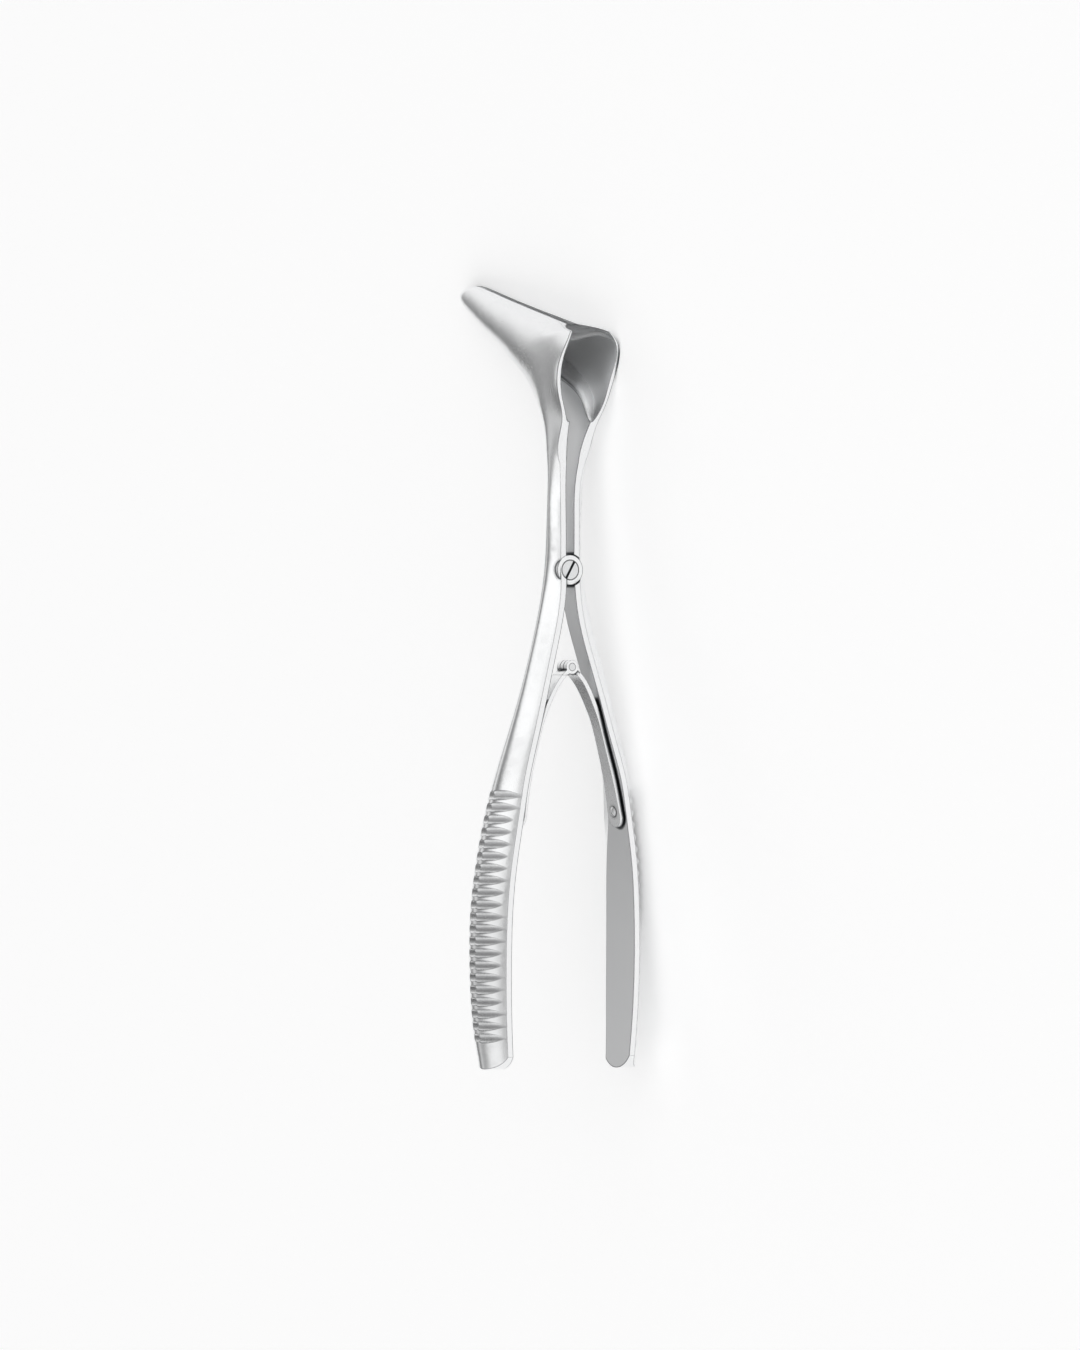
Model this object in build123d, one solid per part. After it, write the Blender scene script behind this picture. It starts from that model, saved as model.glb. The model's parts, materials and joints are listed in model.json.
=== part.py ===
from build123d import *
import os
from math import atan2, degrees, log

os.makedirs("parts", exist_ok=True)

# Working frame: x is the way the halves spread, y runs along the pivot screw from the user's side
# towards the blade tips, and z runs up the handles to the blades. The pivot is the origin.

# Handles and shanks, both halves alike
handle_length = 99.7
shank_length = 26.0
handle_spread = 14.45
handle_half_width = 5.3
handle_centre_offset = 1.7
arm_depth = 5.0
arm_edge = 1.3
ridge_share = 0.6
handle_end_radius = 5.6

# Grip grooves across the crown of each handle
groove_count = 21
groove_first = 44.9
groove_pitch = 2.43
groove_radius = 1.05
groove_depth = 0.5
groove_stroke_shares = [0.40, 0.64]
stroke_slope_share = 0.05

# Blades: each is half of a flattened funnel, open to the user
blade_reach = 37.7
mouth_setback = 12.0
tip_height = 57.6
funnel_half_width = 7.1
hollow_overrun = 1.5
rim_height = 47.55
rim_setback = 10.8
top_edge_end_setback = 4.0
top_edge_end_height = 50.8
# Rim from the shank's front edge up to its top corner, as shares of its setback and height
rim_shares = [
    (-0.31, 0.42), (-0.37, 0.52), (-0.50, 0.59), (-0.66, 0.67), (-0.72, 0.76), (-0.82, 0.84),
    (-0.95, 0.91), (-0.99, 0.95), (-0.93, 1.00),
]

# Lap joint with its slotted screw
ear_radius = 3.0
ear_depth = 5.0
ear_clearance = 0.18
lap_clearance = 0.05
screw_radius = 1.1
screw_fit = 0.03
screw_head_radius = 1.9
screw_head_depth = 0.9
screw_head_clearance = 0.1
screw_slot_width = 0.5
screw_slot_depth = 0.45
screw_slot_angle = -60.0

# Leaf springs with their knuckles and pin
leaf_thickness = 0.9
leaf_foot_width = 4.4
leaf_waist_width = 3.0
leaf_eye_width = 3.6
leaf_centre_offset = -1.5
leaf_foot_overhang = 3.2
leaf_gap = 0.12
eye_height = 19.4
eye_radius = 1.4
eye_pin_radius = 0.75
eye_fit = 0.04
eye_clearance = 0.15
knuckle_clearance = 0.08
rivet_height = 48.3
rivet_head_radius = 1.1
rivet_head_height = 0.45
rivet_shank_radius = 0.75
rivet_shank_depth = 1.6
rivet_fit = 0.02

# Lying on one side: the turns that bring handle, mouth and tip of the lower half to the table
lie_pitch = -7.0
lie_roll = -4.08

overrun = 1.0
measuring_step = 0.01
overall_height = handle_length + tip_height

# Arm stations as shares: height, inner face, front edge, back edge, crown, and how far the outer
# form leans back past the inner face
handle_station_shares = [
    (-1.005, 0.930, -0.84, 0.76, 0.84, 0.10),
    (-0.943, 0.962, -0.90, 0.84, 0.92, 0.18),
    (-0.863, 0.990, -0.96, 0.96, 0.97, 0.22),
    (-0.782, 1.000, -1.00, 0.99, 1.00, 0.22),
    (-0.662, 0.979, -1.05, 0.89, 1.03, 0.25),
    (-0.582, 0.927, -1.11, 0.64, 1.04, 0.33),
    (-0.502, 0.841, -1.15, 0.15, 1.03, 0.68),
    (-0.421, 0.745, -1.16, -0.16, 0.99, 0.68),
    (-0.341, 0.590, -1.09, -0.15, 0.96, 0.48),
    (-0.261, 0.435, -1.02, -0.14, 0.93, 0.26),
    (-0.180, 0.273, -0.91, -0.10, 0.92, 0.16),
    (-0.100, 0.129, -0.84, 0.02, 0.89, 0.08),
    (-0.035, 0.068, -0.83, 0.10, 0.78, 0.02),
]
shank_station_shares = [
    (0.05, 0.062, -0.79, 0.12, 0.64, 0.0),
    (0.27, 0.063, -0.79, 0.04, 0.60, 0.0),
    (0.54, 0.066, -0.78, -0.08, 0.60, 0.0),
]

# Head stations, turning from level across the shank to upright across the blade, as shares: back
# setback and height, front setback and height, inner face at back and front, and the outer form's
# distance from the middle plane at five places from front to back
head_station_shares = [
    (0.026, 0.345, -0.078, 0.340, 0.16, 0.17, 0.37, 0.50, 0.57, 0.52, 0.36),
    (0.030, 0.425, -0.122, 0.427, 0.22, 0.24, 0.50, 0.57, 0.62, 0.58, 0.42),
    (0.045, 0.498, -0.207, 0.518, 0.26, 0.37, 0.60, 0.61, 0.65, 0.64, 0.47),
    (0.088, 0.558, -0.270, 0.625, 0.22, 0.55, 1.02, 0.86, 0.76, 0.70, 0.50),
    (0.152, 0.616, -0.330, 0.740, 0.16, 0.57, 1.09, 0.97, 0.82, 0.71, 0.50),
    (0.235, 0.668, -0.310, 0.840, 0.13, 0.30, 0.46, 0.80, 0.81, 0.70, 0.46),
    (0.335, 0.710, -0.110, 0.862, 0.12, 0.17, 0.20, 0.59, 0.74, 0.65, 0.42),
    (0.450, 0.752, 0.105, 0.882, 0.11, 0.14, 0.16, 0.53, 0.68, 0.59, 0.37),
    (0.568, 0.794, 0.340, 0.917, 0.10, 0.11, 0.13, 0.45, 0.58, 0.51, 0.31),
    (0.688, 0.832, 0.556, 0.951, 0.09, 0.09, 0.11, 0.38, 0.49, 0.43, 0.26),
    (0.803, 0.869, 0.742, 0.982, 0.08, 0.08, 0.10, 0.31, 0.40, 0.35, 0.21),
    (0.905, 0.904, 0.877, 0.998, 0.07, 0.07, 0.09, 0.25, 0.32, 0.27, 0.16),
    (0.972, 0.930, 0.962, 0.990, 0.06, 0.06, 0.08, 0.19, 0.24, 0.19, 0.11),
    (1.002, 0.950, 1.000, 0.970, 0.06, 0.06, 0.07, 0.11, 0.12, 0.11, 0.08),
]
crown_place_shares = [0.0, 0.2, 0.5, 0.8, 1.0]

# The view channel at the head's third and later stations: where it starts and ends between front
# and back, and its distance from the middle plane at the start, three places between and the end
hollow_station_shares = [
    (0.00, 0.20, 0.52, 0.48, 0.45, 0.42, 0.34),
    (0.00, 0.56, 0.94, 0.80, 0.70, 0.62, 0.41),
    (0.00, 0.76, 1.01, 0.88, 0.74, 0.62, 0.35),
    (0.00, 0.88, 0.36, 0.70, 0.71, 0.59, 0.29),
    (0.05, 0.91, 0.10, 0.48, 0.62, 0.54, 0.26),
    (0.07, 0.92, 0.09, 0.42, 0.56, 0.48, 0.22),
    (0.08, 0.92, 0.06, 0.34, 0.46, 0.40, 0.18),
    (0.09, 0.91, 0.04, 0.27, 0.37, 0.32, 0.14),
    (0.10, 0.90, 0.03, 0.20, 0.28, 0.24, 0.10),
    (0.12, 0.88, 0.02, 0.14, 0.20, 0.17, 0.07),
    (0.18, 0.82, 0.01, 0.08, 0.12, 0.09, 0.03),
]
solid_station_count = 2

# Leaf springs: fall from the eye to the foot, and spread, as shares
leaf_shares = [
    (0.020, 0.050), (0.081, 0.236), (0.206, 0.444), (0.330, 0.598), (0.455, 0.707), (0.579, 0.800),
    (0.704, 0.890), (0.829, 0.962), (0.900, 0.998), (1.000, 1.040),
]
knuckle_share = 1 / 6


def ring(inner_back, inner_front, crown):
    """Closed section: flat inner face, front edge, outer form from front to back, back edge."""
    return Face(Wire([
        Line(inner_back, inner_front),
        Line(inner_front, crown[0]),
        Spline(*crown),
        Line(crown[-1], inner_back),
    ]))


def crown_point(share, place):
    """Place on the outer form of an arm station, as (x, y), at a share from front to back."""
    height, inner, front, back, crown, lean = share
    near = handle_centre_offset + front * handle_half_width
    far = handle_centre_offset + (back + lean) * handle_half_width
    turned = place ** (log(1 / 2) / log(ridge_share))
    bulge = crown * arm_depth - arm_edge
    x = inner * handle_spread + arm_edge + 4 * bulge * turned * (1 - turned)
    return x, near + place * (far - near)


def arm_section(share, length):
    """D section across handle or shank, its crown's ridge behind the middle."""
    height, inner, front, back = share[:4]
    z = height * length
    x = inner * handle_spread
    near = handle_centre_offset + front * handle_half_width
    far = handle_centre_offset + back * handle_half_width
    crown = [(*crown_point(share, place), z) for place in crown_place_shares]
    return ring((x, far, z), (x, near, z), crown)


def head_point(share, place, outward):
    """Point of a head station at a place from front to back, at a share of the half width."""
    back_y, back_z, front_y, front_z = share[:4]
    y = (front_y + place * (back_y - front_y)) * blade_reach
    z = (front_z + place * (back_z - front_z)) * tip_height
    return (outward * funnel_half_width, y, z)


def head_section(share):
    """Solid half section of funnel or blade."""
    crown = [head_point(share, *pair) for pair in zip(crown_place_shares, share[6:])]
    return ring(head_point(share, 1, share[4]), head_point(share, 0, share[5]), crown)


def hollow_section(share, channel):
    """Section of the view channel, carried past the middle plane."""
    start, end = channel[:2]
    places = [start + place * (end - start) for place in crown_place_shares]
    crown = [head_point(share, *pair) for pair in zip(places, channel[2:])]
    past = -hollow_overrun / funnel_half_width
    return ring(head_point(share, places[-1], past), head_point(share, places[0], past), crown)


def handle_end_trim():
    """What is left outside the round end of the handle."""
    middle = handle_centre_offset
    end = Location((0, middle, -handle_length))
    block = end * Box(2 * overall_height, 4 * handle_half_width, 2 * handle_end_radius)
    round_end = Location((0, middle, handle_end_radius - handle_length), (0, 90, 0)) * Cylinder(
        handle_end_radius, 3 * overall_height)
    return block - round_end


def handle_share_at(height):
    """Handle station at a height below the pivot, between the two nearest of the table."""
    rows = handle_station_shares
    for low, high in zip(rows, rows[1:]):
        if low[0] * handle_length <= -height <= high[0] * handle_length:
            part = (-height / handle_length - low[0]) / (high[0] - low[0])
            return [first + part * (second - first) for first, second in zip(low, high)]
    return rows[0]


def inner_at(height):
    """Distance of the handle's flat inner face from the middle plane."""
    return handle_share_at(height)[1] * handle_spread


def grip_grooves():
    """Round-bottomed grooves across the crown, each cut in two strokes that follow its curve."""
    cuts = []
    for number in range(groove_count):
        height = groove_first + number * groove_pitch
        station = handle_share_at(height)
        for place in groove_stroke_shares:
            x, y = crown_point(station, place)
            front_x, front_y = crown_point(station, place - stroke_slope_share)
            back_x, back_y = crown_point(station, place + stroke_slope_share)
            turn = degrees(atan2(front_x - back_x, back_y - front_y))
            stroke = Location((groove_radius - groove_depth, 0, 0), (90, 0, 0)) * Cylinder(
                groove_radius, 3 * handle_half_width)
            cuts.append(Location((x, y, -height), (0, 0, turn)) * stroke)
    return cuts


def outer_form():
    """Solid outer form of one half, from the handle's end to the blade's tip."""
    sections = [arm_section(share, handle_length) for share in handle_station_shares]
    sections += [arm_section(share, shank_length) for share in shank_station_shares]
    sections += [head_section(share) for share in head_station_shares]
    return loft(sections)


def view_channel():
    """Hollow of the funnel and blade, narrowing towards the tip."""
    stations = head_station_shares[solid_station_count:]
    return loft([hollow_section(*pair) for pair in zip(stations, hollow_station_shares)])


def mouth_trim():
    """What lies outside the rim and the top edge near it, seen from the side."""
    rim = Spline(*[(0, y * rim_setback, z * rim_height) for y, z in rim_shares])
    corner = (0, rim_shares[-1][0] * rim_setback, rim_shares[-1][1] * rim_height)
    foot = (0, rim_shares[0][0] * rim_setback, rim_shares[0][1] * rim_height)
    end = (0, top_edge_end_setback, top_edge_end_height)
    high = (0, top_edge_end_setback, 2 * tip_height)
    far_high = (0, -2 * mouth_setback, 2 * tip_height)
    far_low = (0, -2 * mouth_setback, foot[2])
    outline = Wire([rim, Line(corner, end), Line(end, high), Line(high, far_high),
                    Line(far_high, far_low), Line(far_low, foot)])
    return extrude(Face(outline), amount=2 * funnel_half_width, dir=(1, 0, 0))


def plain_half():
    """One half without ears, bores or rivet hole."""
    return outer_form() - view_channel() - mouth_trim() - handle_end_trim() - grip_grooves()


def on_pivot(radius, start, end):
    """Cylinder about the pivot axis between two depths."""
    middle = Location((0, (start + end) / 2, 0), (90, 0, 0))
    return middle * Cylinder(radius, end - start)


def lapped(body, side):
    """Adds the half-lap ear of one half (side 1 behind, -1 in front) and its recesses."""
    outside = side * ear_depth / 2
    inside = side * lap_clearance / 2
    ear = on_pivot(ear_radius, *sorted((inside, outside)))
    recess = on_pivot(ear_radius + ear_clearance, *sorted((inside, -outside - side * overrun)))
    return body - recess + ear


def right_half(form):
    """Lower half as it lies: its ear is behind and holds the thread of the screw."""
    body = lapped(form, 1)
    thread = on_pivot(screw_radius + rivet_fit, -overrun, ear_depth)
    return body - thread - rivet_hole()


def left_half(form):
    """Upper half as it lies: its ear is in front and is sunk for the screw's head."""
    body = lapped(mirror(form, about=Plane.YZ), -1)
    bore = on_pivot(screw_radius + screw_fit, -ear_depth, overrun)
    sink = on_pivot(screw_head_radius + screw_head_clearance, -ear_depth,
                    screw_head_depth + lap_clearance - ear_depth / 2)
    return body - bore - sink - mirror(rivet_hole(), about=Plane.YZ)


def pivot_screw():
    """Slotted cheese-head screw, flush with both ears."""
    front = -ear_depth / 2
    head = on_pivot(screw_head_radius, front, front + screw_head_depth)
    shank = on_pivot(screw_radius, front, ear_depth / 2)
    slot = Location((0, front, 0), (0, screw_slot_angle, 0)) * Box(
        3 * screw_head_radius, 2 * screw_slot_depth, screw_slot_width)
    return head + shank - slot


def leaf_profile():
    """Middle line of the right leaf from its eye to its foot, as (x, z) points."""
    foot = inner_at(rivet_height) - leaf_gap - leaf_thickness / 2
    run = rivet_height + leaf_foot_overhang - eye_height
    points = []
    for drop, spread in leaf_shares:
        height = eye_height + drop * run
        beside = inner_at(height) - leaf_gap - leaf_thickness / 2
        points.append((min(spread * foot, beside), -height))
    return points


def leaf_strip():
    """Side form of the right leaf, its thickness set off square to the middle line."""
    points = leaf_profile()
    outer = []
    inner = []
    for number, (x, z) in enumerate(points):
        before = points[max(number - 1, 0)]
        after = points[min(number + 1, len(points) - 1)]
        run = (Vector(after[0], 0, after[1]) - Vector(before[0], 0, before[1])).normalized()
        across = Vector(-run.Z, 0, run.X) * (leaf_thickness / 2)
        outer.append(Vector(x, 0, z) + across)
        inner.append(Vector(x, 0, z) - across)
    face = Face(Wire([Spline(*outer), Line(outer[-1], inner[-1]), Spline(*inner),
                      Line(outer[0], inner[0])]))
    return extrude(face, amount=leaf_foot_width, dir=(0, 1, 0), both=True)


def leaf_outline():
    """Front view of a leaf: wide foot with a round end, narrow waist, wide eye."""
    middle = leaf_centre_offset
    foot = leaf_foot_width / 2
    eye = leaf_eye_width / 2
    waist = leaf_waist_width / 2
    top = eye_radius - eye_height
    end = -rivet_height - leaf_foot_overhang
    knee = end + foot
    neck = -eye_height - 2 * eye_radius
    half_way = (knee + neck) / 2
    outline = Wire([
        Line((0, middle - eye, top), (0, middle + eye, top)),
        Line((0, middle + eye, top), (0, middle + eye, neck)),
        Spline((0, middle + eye, neck), (0, middle + waist, half_way), (0, middle + foot, knee)),
        ThreePointArc((0, middle + foot, knee), (0, middle, end),
                      (0, middle - foot, knee)),
        Spline((0, middle - foot, knee), (0, middle - waist, half_way), (0, middle - eye, neck)),
        Line((0, middle - eye, neck), (0, middle - eye, top)),
    ])
    return extrude(Face(outline), amount=handle_spread + overrun, dir=(1, 0, 0), both=True)


def about_pin(radius, start, end):
    """Cylinder about the springs' pin between two shares of the eye's width."""
    length = (end - start) * leaf_eye_width
    middle = leaf_centre_offset + (start + end) / 2 * leaf_eye_width
    return Location((0, middle, -eye_height), (90, 0, 0)) * Cylinder(radius, length)


def leaf(middle_knuckle):
    """Right leaf with its eye: one knuckle in the middle, or one at each side."""
    clear = knuckle_clearance / leaf_eye_width
    room = eye_radius + eye_clearance
    body = leaf_strip() & leaf_outline()
    body = body + about_pin(eye_radius, -knuckle_share * 3, knuckle_share * 3)
    if middle_knuckle:
        body = body - about_pin(room, knuckle_share - clear, 1) - about_pin(room, -1, clear - knuckle_share)
    else:
        body = body - about_pin(room, -knuckle_share - clear, knuckle_share + clear)
    return body - about_pin(eye_pin_radius + eye_fit, -1, 1) - rivet_hole()


def spring_pin():
    """Straight pin through the knuckles of both leaves."""
    return about_pin(eye_pin_radius, -knuckle_share * 3, knuckle_share * 3)


def on_rivet(shape, depth):
    """Places a piece on the right rivet's axis, square to the leaf, at a depth past its middle line."""
    profile = leaf_profile()
    above, below = next(pair for pair in zip(profile, profile[2:]) if pair[1][1] <= -rivet_height)
    part = (above[1] + rivet_height) / (above[1] - below[1])
    slope = degrees(atan2(below[0] - above[0], above[1] - below[1]))
    middle = above[0] + part * (below[0] - above[0])
    seat = Location((middle, leaf_centre_offset, -rivet_height), (0, 90 - slope, 0))
    return seat * Location((0, 0, depth)) * shape


def rivet_hole():
    """Blind hole for the right rivet through the leaf into the handle's inner face."""
    depth = leaf_thickness + leaf_gap + rivet_shank_depth + lap_clearance
    hole = Cylinder(rivet_shank_radius + rivet_fit, depth + leaf_thickness)
    return on_rivet(hole, depth / 2 - leaf_thickness)


def rivet():
    """Right rivet: domed head on the leaf, shank in the handle."""
    head_seat = -leaf_thickness / 2 - rivet_fit
    depth = leaf_thickness + rivet_fit + leaf_gap + rivet_shank_depth
    shank = on_rivet(Cylinder(rivet_shank_radius, depth), head_seat + depth / 2)
    dome_radius = (rivet_head_radius ** 2 + rivet_head_height ** 2) / (2 * rivet_head_height)
    ball = on_rivet(Sphere(dome_radius), head_seat - rivet_head_height + dome_radius)
    room = on_rivet(Box(4 * rivet_head_radius, 4 * rivet_head_radius, 2 * rivet_head_height),
                    head_seat - rivet_head_height)
    return shank + (ball & room)


def lying(shape):
    """Turns a piece from the working frame to the way the tool lies on a table."""
    on_side = Plane(origin=(0, 0, 0), x_dir=(0, 0, -1), z_dir=(0, 1, 0)).location
    return Location((0, 0, 0), (lie_pitch, lie_roll, 0)) * on_side * shape


def place(pieces):
    """Sets the origin under the middle of the whole, on the table."""
    laid = {name: lying(shape) for name, shape in pieces.items()}
    points = [point for shape in laid.values() for point in shape.tessellate(measuring_step)[0]]
    middle_x = (min(point.X for point in points) + max(point.X for point in points)) / 2
    middle_y = (min(point.Y for point in points) + max(point.Y for point in points)) / 2
    shift = Location((-middle_x, -middle_y, -min(point.Z for point in points)))
    return {name: shift * shape for name, shape in laid.items()}


form = plain_half()
pieces = {
    "right_half": right_half(form),
    "left_half": left_half(form),
    "pivot_screw": pivot_screw(),
    "right_spring_leaf": leaf(True),
    "left_spring_leaf": mirror(leaf(False), about=Plane.YZ),
    "spring_pin": spring_pin(),
    "right_spring_rivet": rivet(),
    "left_spring_rivet": mirror(rivet(), about=Plane.YZ),
}
for name, shape in place(pieces).items():
    export_step(shape, f"parts/{name}.step")
    print(name, len(shape.solids()), round(shape.volume, 2))
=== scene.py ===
import json
from math import radians, tau

import bmesh
import bpy
from mathutils import Matrix, Vector


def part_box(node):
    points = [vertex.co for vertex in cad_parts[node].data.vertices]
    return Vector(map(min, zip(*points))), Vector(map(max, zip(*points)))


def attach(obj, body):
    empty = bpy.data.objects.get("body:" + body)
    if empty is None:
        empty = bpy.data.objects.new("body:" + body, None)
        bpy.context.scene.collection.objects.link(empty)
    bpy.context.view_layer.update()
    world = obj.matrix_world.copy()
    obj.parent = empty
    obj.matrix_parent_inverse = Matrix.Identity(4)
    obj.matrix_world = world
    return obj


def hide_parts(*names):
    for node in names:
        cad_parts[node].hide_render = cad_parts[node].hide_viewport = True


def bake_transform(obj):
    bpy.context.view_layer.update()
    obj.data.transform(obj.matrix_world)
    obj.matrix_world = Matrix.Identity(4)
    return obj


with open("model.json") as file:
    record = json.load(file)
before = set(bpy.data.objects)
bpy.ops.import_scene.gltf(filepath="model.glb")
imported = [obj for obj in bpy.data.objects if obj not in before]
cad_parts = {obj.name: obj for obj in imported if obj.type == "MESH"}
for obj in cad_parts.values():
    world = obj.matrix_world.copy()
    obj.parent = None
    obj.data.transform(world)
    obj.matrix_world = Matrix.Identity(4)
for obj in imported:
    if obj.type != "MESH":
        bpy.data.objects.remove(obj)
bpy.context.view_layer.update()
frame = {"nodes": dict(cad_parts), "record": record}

# The two halves are forged from stainless steel, ground smooth and polished to a satin shine on
# their outer crowns. The flat faces that look at each other keep the duller grinding finish, and
# painted shade darkens the grip grooves and seams.
SATIN_STEEL = (0.88, 0.885, 0.89)
DULL_STEEL = (0.80, 0.805, 0.81)
# The next colour is painted shade for narrow grooves and seams.
SEAM_PAINTED_SHADE = (0.08, 0.085, 0.09)
# The next colour is painted shade along rounded edges.
EDGE_PAINTED_SHADE = (0.22, 0.225, 0.23)
SATIN_ROUGHNESS = 0.25
DULL_ROUGHNESS = 0.40
UNEVEN_ROUGHNESS = 0.10
FLAT_FACE = (0.90, 0.975)
BLADE = (0.055, 0.066)
ROUNDED_EDGE = 0.00032
EDGE_TURN = (0.006, 0.06)
EDGE_SAMPLES = 8
SEAM_REACH = 0.0008
SEAM_CLOSED = (0.03, 0.13)
SEAM_SAMPLES = 12
FINE_SCRATCHES = 5200
LONG_SCRATCHES = 160
SCRATCH_DETAIL = 3
SCRATCH_MIX = 0.6
SCRATCH_DEPTH = 0.00002
FORGED_RELIEF = 0.10
FORGED_CLOUDS = 140
FORGED_DETAIL = 4

joints = {joint["name"]: joint for joint in frame["record"]["behaviour"]["joints"]}
pivot = Vector(joints["pivot"]["pos_m"])
pin_low, pin_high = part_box("spring_pin")
pin_middle = (pin_low + pin_high) / 2
depth = -Vector(joints["pivot"]["axis"]).normalized()
above_pin = pivot - pin_middle
rise = (above_pin - depth * above_pin.dot(depth)).normalized()
spread = depth.cross(rise)


class Value:
    """A shader socket that ordinary sums can be written with."""

    def __init__(self, tree, socket):
        self.tree = tree
        self.socket = socket

    def node(self, kind, settings=None, output=0, **inputs):
        """Adds a node. Its sockets are given by name, or by number as i0, i1 and so on."""
        made = self.tree.nodes.new(kind)
        for name, setting in (settings or {}).items():
            setattr(made, name, setting)
        for name, given in inputs.items():
            key = int(name[1:]) if name[1:].isdigit() else name.replace("_", " ")
            if isinstance(given, Value):
                self.tree.links.new(given.socket, made.inputs[key])
            else:
                made.inputs[key].default_value = given
        return Value(self.tree, made.outputs[output])

    def maths(self, operation, first, second=0.0):
        return self.node("ShaderNodeMath", {"operation": operation}, i0=first, i1=second)

    def __add__(self, other):
        return self.maths("ADD", self, other)

    def __radd__(self, other):
        return self.maths("ADD", other, self)

    def __sub__(self, other):
        return self.maths("SUBTRACT", self, other)

    def __rsub__(self, other):
        return self.maths("SUBTRACT", other, self)

    def __mul__(self, other):
        return self.maths("MULTIPLY", self, other)

    def __rmul__(self, other):
        return self.maths("MULTIPLY", other, self)

    def vector_maths(self, operation, second, output=0):
        return self.node("ShaderNodeVectorMath", {"operation": operation}, output, i0=self, i1=second)

    def dot(self, direction):
        return self.vector_maths("DOT_PRODUCT", direction, output=1)

    def ramp(self, low, high):
        return self.node("ShaderNodeMapRange", {"interpolation_type": "SMOOTHSTEP", "clamp": True},
                         Value=self, From_Min=low, From_Max=high)

    def mixed(self, low, high):
        low = low if isinstance(low, Value) else (*low, 1)
        high = high if isinstance(high, Value) else (*high, 1)
        return self.node("ShaderNodeMix", {"data_type": "RGBA"}, output=2, i0=self, i6=low, i7=high)


class Steel:
    """A steel surface with painted shade in its seams and along its rounded edges."""

    def __init__(self, name):
        self.material = bpy.data.materials.new(name)
        self.material.use_nodes = True
        self.tree = self.material.node_tree
        self.shader = self.tree.nodes["Principled BSDF"]
        self.shader.inputs["Metallic"].default_value = 1.0
        self.place = Value(self.tree, None).node("ShaderNodeTexCoord", output="Object")
        self.normal = Value(self.tree, None).node("ShaderNodeTexCoord", output="Normal")

    def noise(self, scale, detail):
        """Soft clouds a few millimetres wide or finer."""
        return self.place.node("ShaderNodeTexNoise", Vector=self.place, Scale=scale, Detail=detail)

    def brushed(self, along):
        """Noise drawn out along one direction, as a grinding belt leaves it."""
        scale = tuple(LONG_SCRATCHES if axis == along else FINE_SCRATCHES for axis in range(3))
        drawn_out = self.place.node("ShaderNodeMapping", Vector=self.place, Scale=scale)
        return self.place.node("ShaderNodeTexNoise", Vector=drawn_out, Scale=1.0, Detail=SCRATCH_DETAIL,
                               Roughness=SCRATCH_MIX)

    def seams(self):
        """One in a narrow groove or seam, zero in the open."""
        open_share = self.place.node("ShaderNodeAmbientOcclusion", {"samples": SEAM_SAMPLES}, output=1,
                                     Distance=SEAM_REACH)
        return (1 - open_share).ramp(*SEAM_CLOSED)

    def finish(self, colour, rough, relief, strength, edge):
        """Joins colour, roughness, relief and rounded edges to the shader, and paints shade along the
        rounded edges and in seams.
        """
        rounded = self.place.node("ShaderNodeBevel", {"samples": EDGE_SAMPLES}, Radius=edge)
        unrounded = self.place.node("ShaderNodeNewGeometry", output="Normal")
        # Painted shade darkens the colour where the rounded normal turns away from the true one, along
        # edges.
        edge_shaded = (1 - rounded.dot(unrounded)).ramp(*EDGE_TURN).mixed(colour, EDGE_PAINTED_SHADE)
        # Painted shade darkens the colour in narrow grooves and seams, where the occlusion mask closes.
        shaded = self.seams().mixed(edge_shaded, SEAM_PAINTED_SHADE)
        self.tree.links.new(shaded.socket, self.shader.inputs["Base Color"])
        self.tree.links.new(rough.socket, self.shader.inputs["Roughness"])
        bump = self.place.node("ShaderNodeBump", Strength=strength, Distance=SCRATCH_DEPTH, Height=relief,
                               Normal=rounded)
        self.tree.links.new(bump.socket, self.shader.inputs["Normal"])
        return self.material


def forged_steel(name, inward):
    """Satin outside, duller on the flat face that looks inward."""
    steel = Steel(name)
    dull = steel.normal.dot(tuple(inward)).ramp(*FLAT_FACE)
    on_blade = steel.place.dot((0, 1, 0)).ramp(*BLADE)
    grain = steel.brushed(1) * (1 - on_blade) + steel.brushed(0) * on_blade
    colour = dull.mixed(SATIN_STEEL, DULL_STEEL)
    even = SATIN_ROUGHNESS + dull * (DULL_ROUGHNESS - SATIN_ROUGHNESS)
    clouds = steel.noise(FORGED_CLOUDS, FORGED_DETAIL)
    rough = even + (clouds - 0.5) * UNEVEN_ROUGHNESS + (grain - 0.5) * UNEVEN_ROUGHNESS
    return steel.finish(colour, rough, grain, FORGED_RELIEF, ROUNDED_EDGE)


def clad(solid_name, steel):
    """Gives a solid its one material."""
    materials = frame["nodes"][solid_name].data.materials
    materials.clear()
    materials.append(steel)


clad("right_half", forged_steel("right_half_steel", -spread))
clad("left_half", forged_steel("left_half_steel", spread))

# The slotted screw, the pin and the rivets are turned from stainless bar. Fine rings from the lathe
# tool run round their ends, and painted shade darkens the screw's slot.
TURNED_STEEL = (0.78, 0.785, 0.79)
TURNED_ROUGHNESS = 0.20
RING_PITCH = 0.00016
RING_UNEVEN = 0.02
RING_RELIEF = 0.15
SPOTS = 900
SPOT_DETAIL = 3
SPOT_UNEVEN = 0.12
DARKER_SPOT = 0.9
SMALL_EDGE = 0.0001


def darker(colour):
    """The same steel where it is a little darker."""
    return tuple(channel * DARKER_SPOT for channel in colour)


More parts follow.
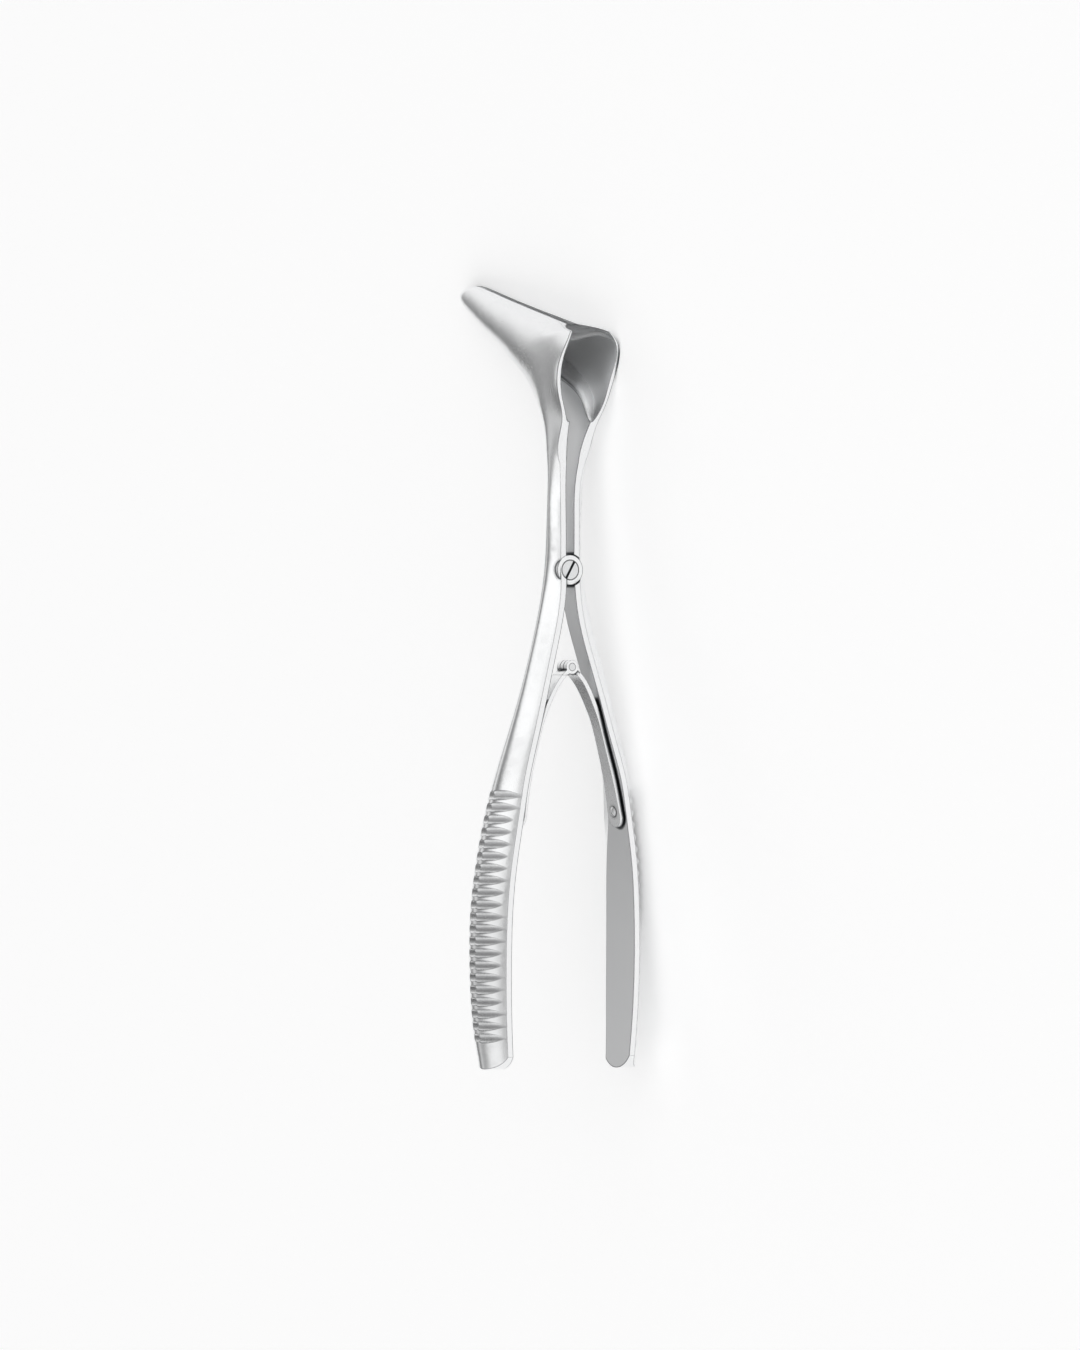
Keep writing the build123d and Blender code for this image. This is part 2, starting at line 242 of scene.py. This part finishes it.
def turned_steel(name, centre, axis):
    """Polished steel with fine rings about the piece's own axis."""
    steel = Steel(name)
    off_axis = steel.place.vector_maths("SUBTRACT", tuple(centre)).vector_maths("CROSS_PRODUCT", tuple(axis))
    radius = off_axis.node("ShaderNodeVectorMath", {"operation": "LENGTH"}, output=1, i0=off_axis)
    rings = steel.place.maths("SINE", radius * (tau / RING_PITCH))
    spots = steel.noise(SPOTS, SPOT_DETAIL)
    colour = spots.mixed(TURNED_STEEL, darker(TURNED_STEEL))
    rough = TURNED_ROUGHNESS + (spots - 0.5) * SPOT_UNEVEN + rings * RING_UNEVEN
    return steel.finish(colour, rough, rings, RING_RELIEF, SMALL_EDGE)


for node_name, axis in (("pivot_screw", depth), ("spring_pin", depth), ("right_spring_rivet", spread),
                        ("left_spring_rivet", spread)):
    low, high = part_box(node_name)
    clad(node_name, turned_steel(node_name + "_steel", (low + high) / 2, axis))

# Two leaf springs are blanked from spring steel strip, rolled into knuckles at the pin and riveted
# inside the handles. In use they bend below their knuckles when the handles are squeezed; here each
# leaf is copied unbent, and the left leaf's two outer knuckles are a piece of their own, since they
# turn stiffly with the pin.
SPRING_STEEL = (0.92, 0.925, 0.93)
STRIP_ROUGHNESS = 0.28
STRIP_UNEVEN = 0.14
STRIP_RELIEF = 0.12
STRIP_CLOUDS = 300
STRIP_DETAIL = 3
LEAF_EDGE = 0.00012
BEND_LENGTH = 0.0088
KNUCKLE_REACH = 0.0016
HAIRLINE = 0.00002
SHARP_ANGLE = radians(35)
DOUBLED_POINT = 1e-7

knuckle_root = pin_middle - rise * KNUCKLE_REACH


def spring_steel():
    """Ground strip, with its grain along the leaf."""
    steel = Steel("spring_steel")
    grain = steel.brushed(1)
    colour = steel.noise(STRIP_CLOUDS, STRIP_DETAIL).mixed(SPRING_STEEL, darker(SPRING_STEEL))
    rough = STRIP_ROUGHNESS + (grain - 0.5) * STRIP_UNEVEN
    return steel.finish(colour, rough, grain, STRIP_RELIEF, LEAF_EDGE)


def welded_copy(solid, name, kept=""):
    """Copy of a solid's mesh with its doubled points joined, whole or cut below or above the knuckles."""
    mesh = solid.data.copy()
    work = bmesh.new()
    work.from_mesh(mesh)
    bmesh.ops.remove_doubles(work, verts=work.verts, dist=DOUBLED_POINT)
    if kept:
        cut = knuckle_root - rise * (HAIRLINE if kept == "below" else 0)
        everything = work.verts[:] + work.edges[:] + work.faces[:]
        bmesh.ops.bisect_plane(work, geom=everything, plane_co=cut, plane_no=rise,
                               clear_outer=kept == "below", clear_inner=kept == "above")
        bmesh.ops.holes_fill(work, edges=work.edges)
    work.to_mesh(mesh)
    work.free()
    mesh.shade_smooth()
    mesh.set_sharp_from_angle(angle=SHARP_ANGLE)
    mesh.materials.clear()
    made = bpy.data.objects.new(name, mesh)
    bpy.context.scene.collection.objects.link(made)
    return made


strip_steel = spring_steel()
bend_start = knuckle_root - rise * BEND_LENGTH
right_leaf = welded_copy(frame["nodes"]["right_spring_leaf"], "right_leaf")
left_leaf = welded_copy(frame["nodes"]["left_spring_leaf"], "left_leaf", "below")
left_knuckles = welded_copy(frame["nodes"]["left_spring_leaf"], "left_knuckles", "above")
for piece, solid_name in ((right_leaf, "right_spring_leaf"), (left_leaf, "left_spring_leaf"),
                          (left_knuckles, "left_spring_leaf")):
    piece.data.materials.append(strip_steel)
    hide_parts(solid_name)
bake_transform(right_leaf)
knuckle_root + rise * BEND_LENGTH
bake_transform(left_leaf)
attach(left_knuckles, "spring_joint")

# A white paper floor and a white sky with four soft grey cards behind and over the tool, as in a
# small product studio. Two large soft lamps stand on the camera's side.
HALF_FLOOR = 3.0
PAPER_WHITE = (0.94, 0.94, 0.94, 1)
PAPER_ROUGHNESS = 0.9
PAPER_GLOW = 0.24
WHITE_SKY = (1, 1, 1)
LAMP_SIZE = 0.8
CARD_GREY = (0.03, 0.03, 0.032)
# Each card has its direction, the cosine where it has faded out, and its share of grey.
CARDS = (((-0.98, -0.20, -0.02), 0.68, 0.78), ((-0.75, -0.65, 0.10), 0.70, 0.60),
         ((-0.40, 0.05, 0.91), 0.78, 0.62), ((-0.30, 0.58, 0.76), 0.80, 0.62))

floor_mesh = bpy.data.meshes.new("floor")
corners = [(x * HALF_FLOOR, y * HALF_FLOOR, 0) for x, y in ((-1, -1), (1, -1), (1, 1), (-1, 1))]
floor_mesh.from_pydata(corners, [], [(0, 1, 2, 3)])
floor = bpy.data.objects.new("floor", floor_mesh)
bpy.context.scene.collection.objects.link(floor)
paper = bpy.data.materials.new("white_paper")
paper.use_nodes = True
sockets = paper.node_tree.nodes["Principled BSDF"].inputs
sockets["Base Color"].default_value = PAPER_WHITE
sockets["Roughness"].default_value = PAPER_ROUGHNESS
sockets["Emission Color"].default_value = PAPER_WHITE
sockets["Emission Strength"].default_value = PAPER_GLOW
floor_mesh.materials.append(paper)

world = bpy.data.worlds.new("studio")
bpy.context.scene.world = world
world.use_nodes = True
sky = world.node_tree
background = sky.nodes["Background"]
direction = Value(sky, None).node("ShaderNodeTexCoord", output="Generated")
around = WHITE_SKY
for towards, soft_edge, strength in CARDS:
    on_card = direction.dot(tuple(Vector(towards).normalized())).ramp(soft_edge, 1.0)
    around = (on_card * strength).mixed(around, CARD_GREY)
sky.links.new(around.socket, background.inputs["Color"])
background.inputs["Strength"].default_value = 1.0


def lamp(name, place, watts):
    """Large square lamp aimed at the tool."""
    light = bpy.data.lights.new(name, "AREA")
    light.size = LAMP_SIZE
    light.energy = watts
    made = bpy.data.objects.new(name, light)
    made.location = place
    made.rotation_euler = (-Vector(place)).to_track_quat("-Z", "Y").to_euler()
    bpy.context.scene.collection.objects.link(made)


lamp("key_lamp", (0.7, 0.2, 0.9), 0.35)
lamp("fill_lamp", (0.6, -0.7, 0.5), 0.15)

# The camera looks along the photograph's line of sight, square to the handles and turned to the
# left of the screw's axis.
VIEW_TURN = radians(32)
VIEW_SPAN = 0.27
VIEW_LENGTH = 300
VIEW_SIDE = -0.00472
VIEW_RISE = -0.021
SENSOR = 24
FARTHEST = 20

camera_data = bpy.data.cameras.new("camera")
camera_data.sensor_fit = "VERTICAL"
camera_data.sensor_height = SENSOR
camera_data.lens = VIEW_LENGTH
camera_data.clip_end = FARTHEST
camera = bpy.data.objects.new("camera", camera_data)
bpy.context.scene.collection.objects.link(camera)
right = Matrix.Rotation(-VIEW_TURN, 3, rise) @ spread
back = right.cross(rise)
target = pivot + right * VIEW_SIDE + rise * VIEW_RISE
distance = VIEW_SPAN * VIEW_LENGTH / SENSOR
facing = Matrix((right, rise, back)).transposed().to_4x4()
camera.matrix_world = Matrix.Translation(target + back * distance) @ facing
bpy.context.scene.camera = camera
bpy.context.scene.view_settings.view_transform = "Standard"
